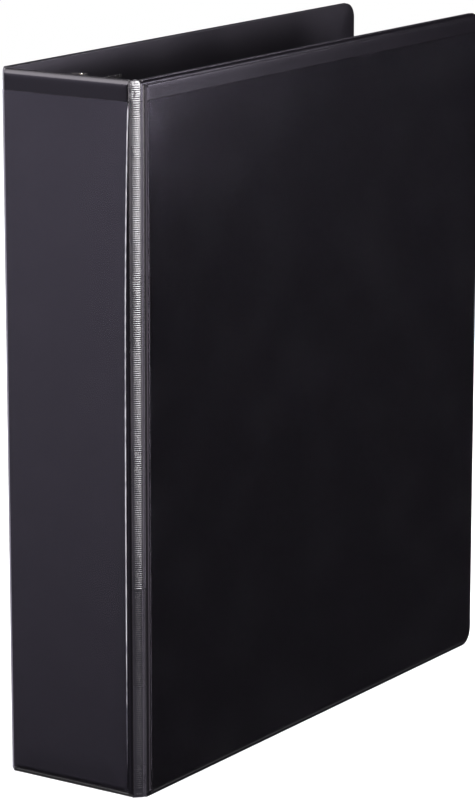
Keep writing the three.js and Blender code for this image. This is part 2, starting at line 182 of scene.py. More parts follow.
skin_shoulder = [
    (14, 0), (4.6, 0), (3.4, -0.02), (2.8, -0.07), (2.35, -0.16), (1.98, -0.3), (1.66, -0.48),
    (1.38, -0.68), (1.12, -0.9), (0.88, -1.1), (0.66, -1.28), (0.46, -1.43), (0.3, -1.54),
    (0.18, -1.62), (0.1, -1.69), (0.04, -1.75), (0.01, -1.8), (0, -1.85), (0, -1.89),
    (0.02, -1.94), (1.9, -1.94), (1.96, -0.5), (2.04, -0.38), (14, -0.37),
]
skin_roll = [
    (14, 0), (4.2, 0), (3.0, -0.01), (2.6, -0.03), (2.3, -0.07), (2.0, -0.14), (1.75, -0.24),
    (1.5, -0.37), (1.25, -0.51), (1.0, -0.66), (0.78, -0.81), (0.58, -0.95), (0.4, -1.09),
    (0.24, -1.24), (0.1, -1.4), (0.02, -1.58), (0.02, -1.74), (0.14, -1.88), (0.4, -1.95),
    (0.8, -1.95), (1.9, -1.94), (1.96, -0.5), (2.04, -0.38), (14, -0.37),
]
lining_bead = [
    (14, -2.63), (2.0, -2.62), (1.9, -2.07), (0.5, -2.06), (0.24, -2.08), (0.14, -2.16),
    (0.12, -2.32), (0.13, -2.52), (0.19, -2.72), (0.34, -2.89), (0.62, -2.98), (14, -3.0),
]
lining_crease = [
    (14, -2.63), (2.0, -2.62), (1.9, -2.06), (0.3, -1.98), (0.04, -2.0), (0.06, -2.2),
    (0.2, -2.5), (0.5, -2.75), (0.95, -2.9), (1.6, -2.97), (4.2, -3.0), (14, -3.0),
]


def outline(size, insets, radii, steps):
    """Points round a rounded rectangle, anticlockwise from its lower left corner, and how far each
    point belongs to the left, right, bottom and top sides."""
    width, height = size
    left, right, bottom, top = insets
    low_x, high_x, low_z, high_z = left, width - right, bottom, height - top
    sides = {"left": 0, "right": 1, "bottom": 2, "top": 3}
    corners = [
        (low_x, low_z, 1, 1, math.pi, "left", "bottom", steps[0]),
        (high_x, low_z, -1, 1, 1.5 * math.pi, "bottom", "right", steps[1]),
        (high_x, high_z, -1, -1, 0.0, "right", "top", steps[0]),
        (low_x, high_z, 1, -1, 0.5 * math.pi, "top", "left", steps[1]),
    ]
    points, weights, arcs = [], [], []
    for (x, z, sign_x, sign_z, start, before, after, _), radius in zip(corners, radii):
        inset = (insets[sides[before]] + insets[sides[after]]) / 2
        bend = max(radius - inset, sharpest_corner)
        centre = (x + sign_x * bend, z + sign_z * bend)
        arc = []
        for step in range(corner_steps + 1):
            share = step / corner_steps
            angle = start + share * math.pi / 2
            weight = [0.0] * 4
            weight[sides[before]] = 1 - share
            weight[sides[after]] = share
            point = (centre[0] + bend * math.cos(angle), centre[1] + bend * math.sin(angle))
            arc.append((point, weight))
        arcs.append(arc)
    for index, arc in enumerate(arcs):
        for point, weight in arc:
            points.append(point)
            weights.append(weight)
        following = arcs[(index + 1) % 4][0]
        *_, count = corners[index]
        side_weight = arc[-1][1]
        run = math.dist(arc[-1][0], following[0])
        near = min(corner_support / max(run, corner_support), most_support)
        shares = [step / count for step in range(1, count)]
        for share in [near] + [near + (1 - 2 * near) * each for each in shares] + [1 - near]:
            here = tuple(a + (b - a) * share for a, b in zip(arc[-1][0], following[0]))
            points.append(here)
            weights.append(side_weight)
    return np.array(points), np.array(weights)


def mesh_piece(name, vertices, faces, material, smooth_angle=40):
    """A piece from vertices in the row frame; edges sharper than smooth_angle stay crisp."""
    mesh = bpy.data.meshes.new(name)
    mesh.from_pydata([tuple(v) for v in vertices], [], faces)
    mesh.validate()
    mesh.shade_smooth()
    mesh.set_sharp_from_angle(angle=math.radians(smooth_angle))
    mesh.materials.append(material)
    piece = bpy.data.objects.new(name, mesh)
    bpy.context.scene.collection.objects.link(piece)
    return piece


def ring_faces(count, rings):
    """Faces that join rings of count points, capped at both ends."""
    faces = []
    for ring in range(rings - 1):
        here, ahead = ring * count, (ring + 1) * count
        for point in range(count):
            following = (point + 1) % count
            faces.append((here + point, ahead + point, ahead + following, here + following))
    faces.append(tuple(range(count)))
    faces.append(tuple(reversed(range((rings - 1) * count, rings * count))))
    return faces


class Panel:
    """One flat panel of the case: its corner, its directions and its size, from the frame."""

    def __init__(self, node, across, outward):
        low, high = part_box(node)
        middle = (low + high) / 2
        half = (high - low) / 2
        self.across, self.outward = Vector(across), Vector(outward)
        self.width = 2 * abs(half.dot(self.across))
        self.height = 2 * half.z
        self.thickness = 2 * abs(half.dot(self.outward))
        self.corner = (
            middle
            - self.across * self.width / 2
            - Vector((0, 0, half.z))
            + self.outward * self.thickness / 2
        )

    def place(self, x, z, depth):
        """The row-frame point that is x across, z up and depth out of the panel's outer face."""
        return self.corner + self.across * x + Vector((0, 0, z)) + self.outward * depth


panels = {
    "front": Panel("front_outer_skin", (0, 1, 0), (1, 0, 0)),
    "spine": Panel("spine_outer_skin", (1, 0, 0), (0, -1, 0)),
    "back": Panel("back_outer_skin", (0, -1, 0), (-1, 0, 0)),
}
panel_bodies = {"front": "front_cover", "spine": "spine", "back": "back_cover"}
crease_sides = {"front": ("left",), "spine": ("left", "right"), "back": ("right",)}
skin_edges = {"front": skin_shoulder, "spine": skin_crease, "back": skin_shoulder}


def corner_radii(label):
    """Corner radii of a panel, anticlockwise from its lower left."""
    left = crease_corner if "left" in crease_sides[label] else bead_radius
    right = crease_corner if "right" in crease_sides[label] else bead_radius
    return left, right, right, left


def lofted_panel(name, label, profiles, material, extra=None, steps=(24, 28)):
    """A panel-shaped sheet whose edges follow a profile per side: left, right, bottom and top.
    extra(x, z) may move a point, except in the flat middle: it gives (sideways, outwards)."""
    panel = panels[label]
    vertices = []
    for step in range(len(profiles[0])):
        insets = [profile[step][0] * mm for profile in profiles]
        depths = np.array([profile[step][1] * mm for profile in profiles])
        points, weights = outline((panel.width, panel.height), insets, corner_radii(label), steps)
        for (x, z), weight in zip(points, weights):
            loose = extra and 0 < step < len(profiles[0]) - 1
            aside, out = extra(x, z) if loose else (0, 0)
            vertices.append(panel.place(x + aside, z, float(weight @ depths) + out))
    count = len(vertices) // len(profiles[0])
    return mesh_piece(name, vertices, ring_faces(count, len(profiles[0])), material)


def side_profiles(label, free, crease):
    """The profile of each side of a panel: left, right, bottom and top."""
    left = crease if "left" in crease_sides[label] else free
    right = crease if "right" in crease_sides[label] else free
    return [left, right, free, free]


def vinyl_grain_group():
    """Fine pebble of calendered vinyl, and the broad patches where it is a little smoother."""
    tree = bpy.data.node_groups.new("vinyl_grain", "ShaderNodeTree")
    size = tree.interface.new_socket("Grain Size", in_out="INPUT", socket_type="NodeSocketFloat")
    size.default_value = usual_grain_size
    for output in ("Height", "Patches"):
        tree.interface.new_socket(output, in_out="OUTPUT", socket_type="NodeSocketFloat")
    inputs = tree.nodes.new("NodeGroupInput")
    outputs = tree.nodes.new("NodeGroupOutput")
    place = tree.nodes.new("ShaderNodeTexCoord")
    frequency = arithmetic(tree, "DIVIDE", 1.0, inputs.outputs["Grain Size"])
    pebble = tree.nodes.new("ShaderNodeTexVoronoi")
    pebble.feature = "SMOOTH_F1"
    tree.links.new(place.outputs["Object"], pebble.inputs["Vector"])
    tree.links.new(frequency, pebble.inputs["Scale"])
    rough = add_node(tree, "ShaderNodeTexNoise", Detail=4.0)
    tree.links.new(place.outputs["Object"], rough.inputs["Vector"])
    fine_frequency = arithmetic(tree, "MULTIPLY", frequency, fine_grain_share)
    tree.links.new(fine_frequency, rough.inputs["Scale"])
    height = arithmetic(tree, "ADD", pebble.outputs["Distance"], rough.outputs["Fac"])
    tree.links.new(arithmetic(tree, "MULTIPLY", height, 0.5), outputs.inputs["Height"])
    tree.links.new(object_noise(tree, vinyl_patch_size, 2.0), outputs.inputs["Patches"])
    return tree


vinyl_grain = vinyl_grain_group()


def place_group(tree, group, **values):
    """A copy of a node group in a material, with its own values."""
    made = tree.nodes.new("ShaderNodeGroup")
    made.node_tree = group
    for socket, value in values.items():
        made.inputs[socket.replace("_", " ")].default_value = value
    return made


def pressed_under_film(tree, patches, film_edge, smooth, rough):
    """Roughness of vinyl that the film keeps smooth up to its mouth at film_edge, and is bare
    and rougher above it."""
    place = tree.nodes.new("ShaderNodeTexCoord")
    apart = tree.nodes.new("ShaderNodeSeparateXYZ")
    tree.links.new(place.outputs["Object"], apart.inputs["Vector"])
    height = apart.outputs["Z"]
    pressed = ramp(tree, height, film_edge, film_edge + press_edge, smooth, rough)
    patchy = ramp(tree, patches, patch_low, patch_high, 0.0, press_patchiness)
    return arithmetic(tree, "ADD", pressed, patchy)


def vinyl_material(name, colour, worn, grain_size, grain_depth, smooth, rough, film_edge=None):
    """Calendered vinyl, a little paler and rougher in broad patches."""
    material, tree, principled = new_material(name, IOR=1.52, Specular_Tint=(1, 0.93, 1, 1))
    grain = place_group(tree, vinyl_grain, Grain_Size=grain_size)
    patches = grain.outputs["Patches"]
    tree.links.new(tint(tree, patches, colour, worn), principled.inputs["Base Color"])
    if film_edge is None:
        roughness = ramp(tree, patches, patch_low, patch_high, smooth, rough)
    else:
        roughness = pressed_under_film(tree, patches, film_edge, smooth, rough)
    tree.links.new(roughness, principled.inputs["Roughness"])
    add_bump(tree, principled, grain.outputs["Height"], grain_depth)
    return material


skin_vinyl = vinyl_material(
    "skin_vinyl",
    colour=(0.0045, 0.004, 0.0052, 1),
    worn=(0.006, 0.0052, 0.007, 1),
    grain_size=0.45 * mm,
    grain_depth=0.02 * mm,
    smooth=0.21,
    rough=0.25,
    film_edge=panels["spine"].height - mouth_drop,
)
lining_vinyl = vinyl_material(
    "lining_vinyl",
    colour=(0.006, 0.0055, 0.007, 1),
    worn=(0.008, 0.007, 0.009, 1),
    grain_size=0.6 * mm,
    grain_depth=0.03 * mm,
    smooth=0.3,
    rough=0.38,
)

for label in panels:
    free_edge = skin_roll if label == "spine" else skin_bead
    skin = lofted_panel(
        f"{label}_skin", label, side_profiles(label, free_edge, skin_edges[label]), skin_vinyl
    )
    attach(skin, panel_bodies[label])
    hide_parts(f"{label}_outer_skin")
    lining = lofted_panel(
        f"{label}_lining", label, side_profiles(label, lining_bead, lining_crease), lining_vinyl
    )
    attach(lining, panel_bodies[label])
    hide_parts(f"{label}_inner_liner")


# ------------------------------------------------------------------ creases
# Between the boards the two vinyl sheets are welded flat by a ribbed bar, which leaves a strip of
# fine cross ribs, the case's living hinge. The bar is shorter than the case, so a second
# press overlaps the first and leaves a small step near the foot.
rib_pitch = 0.88 * mm
rib_height = 0.045 * mm
rows_per_rib = 6
foot_height = 5 * mm
foot_marks = (1.6 * mm, 4.2 * mm)
foot_mark_width = 0.4 * mm
step_height = 88.7 * mm
step_width = 0.5 * mm
step_share = 0.6
second_press_share = 0.7
first_press_band = (0.17, 0.76)
second_press_band = (0.2, 0.66)
press_band_edge = 0.05
groove_depth = 0.5 * mm
groove_start, groove_run = 0.06, 0.16
groove_curve = 1.5
lump_height = 0.025 * mm
lump_length = 4 * mm
lumps_across = 2.5
head_step = 0.08 * mm
head_lean = 0.02
head_lump_height = 0.045 * mm
head_lump_length = 2 * mm
head_lumps_across = 4
strip_inset = 0.62 * mm
strip_thickness = 0.95 * mm
strip_crown = 0.14 * mm
strip_foot = 0.4 * mm
strip_end_radius = 2.4 * mm
strip_end_width = 0.12
strip_end_drop = 0.3 * mm
strip_end_thickness = 0.35
strip_columns = 29
strip_inner_columns = 7


def clamp(value):
    """The value, held between 0 and 1."""
    return min(max(value, 0), 1)


def strip_relief(share, z):
    """How far the weld stands out at a share of the strip's width (0 at the spine)."""
    second_press = z < step_height
    low, high = second_press_band if second_press else first_press_band
    inside = clamp((share - low) / press_band_edge) * clamp((high - share) / press_band_edge)
    rib = (0.5 + 0.5 * math.cos(2 * math.pi * z / rib_pitch)) ** 2
    rib *= 0 if z < foot_height else (second_press_share if second_press else 1)
    press_end = step_share * math.exp(-(((z - step_height) / step_width) ** 2))
    marks = sum(math.exp(-(((z - mark) / foot_mark_width) ** 2)) for mark in foot_marks)
    sunk = clamp((share - high - groove_start) / groove_run) ** groove_curve
    lump = lump_height * noise.noise(Vector((share * lumps_across, 0, z / lump_length)))
    above_mouth = z - (panels["spine"].height - mouth_drop)
    if above_mouth > 0:
        head_lump = noise.noise(Vector((share * head_lumps_across, 1, z / head_lump_length)))
        lump += head_step + head_lump_height * head_lump - head_lean * above_mouth
    return rib_height * (rib + press_end + marks) * inside - groove_depth * sunk + lump


def crease_strip(name, start, end, material):
    """The strip from the spine's edge (start) to the cover's edge (end), both in the row frame."""
    height = panels["spine"].height
    across = end - start
    out = Vector((across.y, -across.x, 0)).normalized()
    if out.y > 0:
        out = -out
    start, end = start - out * strip_inset, end - out * strip_inset
    across = end - start
    rows = int(height / rib_pitch * rows_per_rib)
    vertices = []
    for row in range(rows + 1):
        z = strip_foot + (height - strip_foot) * row / rows
        from_end = clamp((z - (height - strip_end_radius)) / strip_end_radius)
        narrow = max(math.sqrt(1 - from_end**2), strip_end_width)
        for column in range(strip_columns):
            place = column / (strip_columns - 1)
            share = 0.5 + (place - 0.5) * narrow
            crown = strip_crown * math.sin(math.pi * share) * narrow
            rise = strip_relief(place, z) + crown - strip_end_drop * (1 - narrow)
            vertices.append(start + across * share + out * rise + Vector((0, 0, z)))
        for column in reversed(range(strip_inner_columns)):
            share = 0.5 + (column / (strip_inner_columns - 1) - 0.5) * narrow
            depth = strip_thickness * (strip_end_thickness + (1 - strip_end_thickness) * narrow)
            vertices.append(start + across * share - out * depth + Vector((0, 0, z)))
    count = strip_columns + strip_inner_columns
    return mesh_piece(name, vertices, ring_faces(count, rows + 1), material, 60)


crease_vinyl = vinyl_material(
    "crease_vinyl",
    colour=(0.014, 0.013, 0.017, 1),
    worn=(0.022, 0.02, 0.027, 1),
    grain_size=0.5 * mm,
    grain_depth=0.01 * mm,
    smooth=0.24,
    rough=0.32,
)
crease_shader = crease_vinyl.node_tree.nodes["Principled BSDF"]
crease_shader.inputs["Coat Weight"].default_value = 1.0
crease_shader.inputs["Coat Roughness"].default_value = 0.2
spine_low, spine_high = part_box("spine_outer_skin")
for label, body, side in (("front", "front_cover", 1), ("back", "back_cover", -1)):
    low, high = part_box(f"{label}_outer_skin")
    spine_edge = Vector((spine_high.x if side > 0 else spine_low.x, spine_low.y, 0))
    cover_edge = Vector((high.x if side > 0 else low.x, low.y, 0))
    strip = crease_strip(f"{label}_crease_strip", spine_edge, cover_edge, crease_vinyl)
    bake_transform(strip)
    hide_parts(f"{label}_crease")


# ------------------------------------------------------------------ clear outer pockets
# A clear film is welded over the outside of each panel on three sides and left open at the top,
# so that a printed sheet can slide in. It lies a little proud, and curls over at the creases.
film_billow = 0.03 * mm
film_billow_size = (55 * mm, 75 * mm)
film_gap_at_mouth = 0.2 * mm
film_lip_depth = 9 * mm
film_still_margin = 14 * mm
fold_wander = 2.4 * mm
fold_wander_depth = 60 * mm
fold_reach = 16 * mm
fold_lift = 0.4 * mm
film_smooth, film_dulled = 0.07, 0.13
film_weld_gap = 1 * mm
smear_size, smear_share = 28 * mm, 0.6
smear_start, smear_full = 0.45, 0.7
streak_size, streak_share = 3 * mm, 0.5
streak_start, streak_full = 0.58, 0.8
streak_stretch = (1, 1, 9)

film_free = [
    (120, 0.3), (90, 0.3), (62, 0.3), (40, 0.3), (24, 0.3), (14, 0.3), (8, 0.3), (4.2, 0.3),
    (2.95, 0.27), (2.4, 0.2), (2.02, 0.08), (1.74, -0.1), (1.56, -0.34), (1.42, -0.6), (1.32, -0.76),
    (1.36, -0.86), (1.5, -0.72), (1.66, -0.44), (1.84, -0.2), (2.1, -0.04), (2.5, 0.06),
    (4.2, 0.12), (14, 0.12), (40, 0.12), (120, 0.12),
]
film_fold = [
    (120, 0.3), (90, 0.3), (62, 0.3), (40, 0.3), (24, 0.3), (14, 0.3), (8, 0.3), (4.2, 0.3),
    (2.0, 0.3), (0.9, 0.33), (0.35, 0.36), (0.05, 0.32), (-0.15, 0.14), (-0.39, -0.12), (-0.54, -0.28),
    (-0.52, -0.31), (-0.41, -0.24), (-0.17, 0.0), (0.06, 0.16), (0.6, 0.16), (1.6, 0.12),
    (4.2, 0.12), (14, 0.12), (40, 0.12), (120, 0.12),
]
film_roll = [
    (120, 0.3), (90, 0.3), (62, 0.3), (40, 0.3), (24, 0.3), (14, 0.3), (8, 0.3), (5.4, 0.3),
    (4.6, 0.29), (4.1, 0.26), (3.7, 0.21), (3.4, 0.15), (3.2, 0.09), (3.05, 0.04), (2.95, 0.0),
    (3.0, -0.02), (3.15, -0.01), (3.35, 0.01), (3.6, 0.03), (4.0, 0.06), (4.6, 0.09),
    (5.4, 0.12), (14, 0.12), (40, 0.12), (120, 0.12),
]
film_mouth = [
    (120, 0.3), (90, 0.3), (62, 0.3), (44, 0.3), (30, 0.3), (20, 0.3), (14, 0.3), (11, 0.3),
    (9.6, 0.3), (9.1, 0.3), (8.85, 0.3), (8.7, 0.3), (8.6, 0.3), (8.53, 0.29), (8.5, 0.25),
    (8.5, 0.17), (8.53, 0.13), (8.6, 0.12), (8.7, 0.12), (8.85, 0.12), (9.2, 0.12),
    (11, 0.12), (20, 0.12), (44, 0.12), (120, 0.12),
]


def narrow_profile(profile, widest):
    """The same profile for a panel too narrow to hold its widest insets."""
    start, last = film_still_margin / mm, profile[-1][0]
    squeeze = min((widest - start) / (last - start), 1)
    return [
        (start + (inset - start) * squeeze if inset > start else inset, depth)
        for inset, depth in profile
    ]


def film_shape(label):
    """Where the film leaves its flat rest: soft billows, a lip that gapes at the mouth, and on
    the spine a fold that wanders away from the front crease."""
    panel = panels[label]
    folded = label == "spine"

    def extra(x, z):
        inside = clamp(min(x, panel.width - x) / film_still_margin)
        rise = min(z / film_still_margin, 1.0) * inside
        across, up = film_billow_size
        wave = noise.noise(Vector((x / across, z / up, len(label))))
        below_mouth = max(panel.height - mouth_drop - z, 0)
        middle = math.sin(math.pi * clamp(x / panel.width))
        lip = math.exp(-below_mouth / film_lip_depth) * middle
        out = film_billow * wave * rise + film_gap_at_mouth * lip * rise
        if not folded:
            return 0, out
        near_edge = max(1 - (panel.width - x) / fold_reach, 0)
        drift = 1 - math.exp(-below_mouth / fold_wander_depth)
        return -fold_wander * drift * near_edge, out + fold_lift * drift * near_edge**3

    return extra


def smudge_group():
    """The faint marks that hands and packing leave on a glossy sheet."""
    tree = bpy.data.node_groups.new("handling_marks", "ShaderNodeTree")
    tree.interface.new_socket("Marks", in_out="OUTPUT", socket_type="NodeSocketFloat")
    outputs = tree.nodes.new("NodeGroupOutput")
    smears = object_noise(tree, smear_size, 4.0)
    smears = ramp(tree, smears, smear_start, smear_full, 0.0, smear_share)
    streaks = object_noise(tree, streak_size, 5.0, streak_stretch)
    streaks = ramp(tree, streaks, streak_start, streak_full, 0.0, streak_share)
    tree.links.new(arithmetic(tree, "ADD", smears, streaks), outputs.inputs["Marks"])
    return tree


handling_marks = smudge_group()


def film_material():
    """Clear polypropylene film, cast smooth and dulled by handling."""
    material, tree, principled = new_material(
        "clear_film",
        Transmission_Weight=1.0,
        IOR=1.49,
        Base_Color=(0.93, 0.92, 0.95, 1),
        Specular_Tint=(1, 0.93, 1, 1),
    )
    marks = place_group(tree, handling_marks)
    dulled = ramp(tree, marks.outputs["Marks"], 0.0, 1.0, film_smooth, film_dulled)
    tree.links.new(dulled, principled.inputs["Roughness"])
    return material


clear_film = film_material()
film_sides = {
    "front": [film_roll, film_free, film_free, film_mouth],
    "spine": [film_fold, film_fold, film_free, film_mouth],
    "back": [film_free, film_roll, film_free, film_mouth],
}
for label, panel in panels.items():
    widest = (panel.width / 2 - film_weld_gap) / mm
    profiles = [narrow_profile(profile, widest) for profile in film_sides[label]]
    film = lofted_panel(
        f"{label}_clear_pocket", label, profiles, clear_film, film_shape(label), (28, 60)
    )
    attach(film, panel_bodies[label])
    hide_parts(f"{label}_clear_overlay")


# ------------------------------------------------------------------ fold, with its highlight painted
# Where the spine's film is folded over beside the front crease, a pale cord painted along the
# bend stands for its highlight. It wanders away from the crease and breaks up towards the foot.
fold_radius = 0.26 * mm
fold_sides = 10
fold_rows = 240
fold_edge = 0.05 * mm
fold_depth = 0.16 * mm
fold_foot = 12 * mm
fold_break = 75 * mm
fold_head_gap = 0.4 * mm
fold_ragged_length = 5 * mm
fold_end_rows = 3
fold_end_share = 0.1
fold_foot_share = 0.2
fold_ragged_share = 0.7
highlight_breakup_size = 1.5 * mm
# Painted highlight: pale colours for the cord, standing in for the light caught on the fold.
faint_painted_highlight = (0.3, 0.29, 0.33, 1)
painted_highlight_white = (0.62, 0.61, 0.65, 1)

painted_highlight_film, painted_highlight_tree, painted_highlight_shader = new_material(
    "painted_highlight_film", IOR=1.49, Coat_Weight=1.0, Coat_Roughness=0.1
)
# Noise breaks the painted highlight into paler and fainter stretches, and also varies the roughness.
highlight_breakup = object_noise(painted_highlight_tree, highlight_breakup_size, 3.0, (1, 1, 3))
painted_highlight_mask = ramp(painted_highlight_tree, highlight_breakup, 0.35, 0.6, 0, 1)
painted_highlight_colour = tint(painted_highlight_tree, painted_highlight_mask, faint_painted_highlight, painted_highlight_white)
painted_highlight_tree.links.new(painted_highlight_colour, painted_highlight_shader.inputs["Base Color"])
crazing = ramp(painted_highlight_tree, highlight_breakup, 0.3, 0.7, 0.25, 0.45)
painted_highlight_tree.links.new(crazing, painted_highlight_shader.inputs["Roughness"])


def painted_highlight_fold():
    """A thin rounded cord along the spine film's fold, painted pale as its highlight."""
    panel = panels["spine"]
    shape = film_shape("spine")
    top = panel.height - mouth_drop - fold_head_gap
    edge = panel.width - fold_edge
    vertices = []
    for row in range(fold_rows + 1):
        z = fold_foot + (top - fold_foot) * row / fold_rows
        aside, out = shape(edge, z)
        whole = clamp((z - fold_foot) / fold_break)
        ragged = 0.5 * noise.noise(Vector((0, 0, z / fold_ragged_length)))
        fullness = fold_foot_share + (1 - fold_foot_share) * whole
        radius = fold_radius * (fullness + fold_ragged_share * (1 - whole) * ragged)
        radius *= max(min(row, fold_rows - row, fold_end_rows) / fold_end_rows, fold_end_share)
        for side in range(fold_sides):
            angle = 2 * math.pi * side / fold_sides
            x = edge + aside + radius * math.cos(angle)
            depth = fold_depth + out + radius * math.sin(angle)
            vertices.append(panel.place(x, z, depth))
    faces = ring_faces(fold_sides, fold_rows + 1)
    return mesh_piece("painted_highlight_fold", vertices, faces, painted_highlight_film)


fold_line = painted_highlight_fold()
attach(fold_line, "spine")


# ------------------------------------------------------------------ inside pockets
# A low vinyl pocket is welded to the lining of each cover along its foot and both sides, and is
# left open at the top, where the sheet is turned over once to stiffen the mouth.
pocket_weld = [
    (60, 0), (30, 0), (12, 0), (5, 0), (3.9, -0.01), (3.6, -0.1), (3.3, -0.13), (3.0, -0.1),
    (2.7, -0.01), (2.0, 0), (1.7, -0.1), (1.4, -0.13), (1.1, -0.1), (0.8, -0.03), (0.3, -0.06),
    (0, -0.15), (0.1, -0.22), (0.4, -0.25), (3, -0.25), (12, -0.25), (60, -0.25),
]
pocket_mouth = [
    (60, 0.02), (30, 0.06), (12, 0.1), (8.2, 0.12), (7.7, 0.13), (7.5, 0.3), (7.3, 0.33), (6.8, 0.34),
    (5, 0.34), (4, 0.34), (3, 0.34), (2, 0.34), (1.2, 0.34), (0.6, 0.32), (0.2, 0.25),
    (0, 0.1), (0.1, -0.05), (0.5, -0.1), (3, -0.12), (12, -0.15), (60, -0.25),
]
pocket_billow = 0.25 * mm
pocket_billow_size = (70 * mm, 60 * mm)
pocket_weld_width = 5 * mm
pocket_slack_reach = 30 * mm
pocket_fullness, pocket_unevenness = 0.6, 0.5

pocket_vinyl = vinyl_material(
    "pocket_vinyl",
    colour=(0.006, 0.0055, 0.007, 1),
    worn=(0.009, 0.008, 0.01, 1),
    grain_size=0.55 * mm,
    grain_depth=0.03 * mm,
    smooth=0.42,
    rough=0.5,
)


def pocket_shape(panel):
    """Soft billows in the middle of a pocket, none along its welds."""

    def extra(x, z):
        from_weld = min(x, panel.width - x, z) - pocket_weld_width
        slack = clamp(from_weld / pocket_slack_reach)
        across, up = pocket_billow_size
        wave = noise.noise(Vector((x / across, z / up, panel.width)))
        return 0, pocket_billow * (pocket_fullness + pocket_unevenness * wave) * slack

    return extra


for label, across, inward in (("front", (0, 1, 0), (-1, 0, 0)), ("back", (0, -1, 0), (1, 0, 0))):
    node = f"{label}_inner_pocket"
    panels[node] = Panel(node, across, inward)
    crease_sides[node] = ("left", "right")
    pocket = lofted_panel(
        f"{label}_pocket",
        node,
        [pocket_weld, pocket_weld, pocket_weld, pocket_mouth],
        pocket_vinyl,
        pocket_shape(panels[node]),
        (24, 24),
    )
    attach(pocket, panel_bodies[label])
    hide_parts(node)


# ------------------------------------------------------------------ ring housing
# The ring metal's cover is rolled from spring steel and nickel plated. Its hemmed edges hold the
# two blades under tension, and it is pierced for the wires, the rivets and the triggers.
press_radius = 0.16 * mm
scratch_width = 0.5 * mm
scratch_roughness = 0.12
lengthwise, sideways = (1, 1, 24), (8, 20, 1)
lengthwise_start, lengthwise_full = 0.6, 0.75
sideways_start, sideways_full, sideways_share = 0.66, 0.8, 0.4
haze_patch_size = 9 * mm
stamped_corner = 35


def metal_wear_group():
    """Fine handling scratches and the cloudy film that plated steel gathers."""
    tree = bpy.data.node_groups.new("metal_wear", "ShaderNodeTree")
    for output in ("Scratches", "Haze"):
        tree.interface.new_socket(output, in_out="OUTPUT", socket_type="NodeSocketFloat")
    outputs = tree.nodes.new("NodeGroupOutput")
    along = object_noise(tree, scratch_width, 2.0, lengthwise)
    along = ramp(tree, along, lengthwise_start, lengthwise_full, 0.0, 1.0)
    around = object_noise(tree, scratch_width, 2.0, sideways)
    around = ramp(tree, around, sideways_start, sideways_full, 0.0, sideways_share)
    tree.links.new(arithmetic(tree, "ADD", along, around), outputs.inputs["Scratches"])
    tree.links.new(object_noise(tree, haze_patch_size, 4.0), outputs.inputs["Haze"])
    return tree


metal_wear = metal_wear_group()


def metal_material(name, colour, hazy, smooth, rough, scratch_depth):
    """Bare or plated steel, hazy in patches and finely scratched."""
    material, tree, principled = new_material(name, Metallic=1.0)
    wear = place_group(tree, metal_wear)
    tree.links.new(tint(tree, wear.outputs["Haze"], colour, hazy), principled.inputs["Base Color"])
    haze = ramp(tree, wear.outputs["Haze"], patch_low, patch_high, smooth, rough)
    scratched = arithmetic(tree, "MULTIPLY", wear.outputs["Scratches"], scratch_roughness)
    tree.links.new(arithmetic(tree, "ADD", haze, scratched), principled.inputs["Roughness"])
    add_bump(tree, principled, wear.outputs["Scratches"], scratch_depth)
    return material


nickel_plate = metal_material(
    "nickel_plate",
    colour=(0.72, 0.69, 0.64, 1),
    hazy=(0.62, 0.6, 0.57, 1),
    smooth=0.15,
    rough=0.28,
    scratch_depth=0.0012 * mm,
)
bright_steel = metal_material(
    "bright_steel",
    colour=(0.5, 0.5, 0.51, 1),
    hazy=(0.38, 0.38, 0.4, 1),
    smooth=0.3,
    rough=0.48,
    scratch_depth=0.004 * mm,
)


def pressed_copy(name, node, body, material, edge_radius):
    """A node's own shape with its sheared edges rounded, as pressing and plating leave them."""
    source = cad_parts[node]
    mesh = source.data.copy()
    mesh.name = name
    mesh.materials.clear()
    mesh.materials.append(material)
    piece = bpy.data.objects.new(name, mesh)
    bpy.context.scene.collection.objects.link(piece)
    piece.matrix_world = source.matrix_world.copy()
    weld = piece.modifiers.new("weld", "WELD")
    weld.merge_threshold = 0.001 * mm
    rounding = piece.modifiers.new("rounding", "BEVEL")
    rounding.width = edge_radius
    rounding.segments = 3
    rounding.limit_method = "ANGLE"
    rounding.angle_limit = math.radians(stamped_corner)
    rounding.miter_outer = "MITER_ARC"
    depsgraph = bpy.context.evaluated_depsgraph_get()
    rounded = bpy.data.meshes.new_from_object(piece.evaluated_get(depsgraph))
    piece.modifiers.clear()
    piece.data = rounded
    rounded.shade_smooth()
    rounded.set_sharp_from_angle(angle=math.radians(stamped_corner))
    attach(piece, body)
    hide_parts(node)


pressed_copy(
    "housing_cover", "ring_housing", "back_cover", nickel_plate, press_radius
)


# ------------------------------------------------------------------ blades
# Two flat steel blades lie under the housing and meet at its middle. They snap over centre
# between open and closed, and carry the ring halves with them.
blade_radius = 0.12 * mm
for side in ("curved", "straight"):
    pressed_copy(
        f"{side}_blade", f"{side}_side_blade", f"{side}_side", bright_steel, blade_radius
    )


# ------------------------------------------------------------------ rings
# Each ring is two pieces of round spring wire, bent in a former, plated and staked to a blade.
# The halves meet near the top, where one has a point that drops into a notch in the other.
wire_radius = 2.1 * mm
ring_top = 56.0 * mm
post_offset = 10 * mm
post_bend = 12 * mm
tip_meet = post_offset - 13.2 * mm
tip_wedge = 1.5 * mm
tip_gap = 0.3 * mm
tip_lead = 1.2 * wire_radius
belly_radius = 22.5 * mm
belly_height = ring_top - belly_radius
belly_offset = 26.5 * mm
foot_offset = 7.2 * mm
foot_run = 6.5 * mm
blade_pivot_height = 2.7 * mm
foot_height_above_pivot = 0.35 * mm
bend_steps = 24
wire_sides = 24
wire_smooth_angle = 50
shortest_step = 0.05 * mm
housing_seat = 0.1 * mm
ring_pitch = 107.95 * mm

housing_low, housing_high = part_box("ring_housing")
housing_foot = Vector(
    (
        housing_low.x - housing_seat,
        (housing_low.y + housing_high.y) / 2,
        (housing_low.z + housing_high.z) / 2,
    )
)


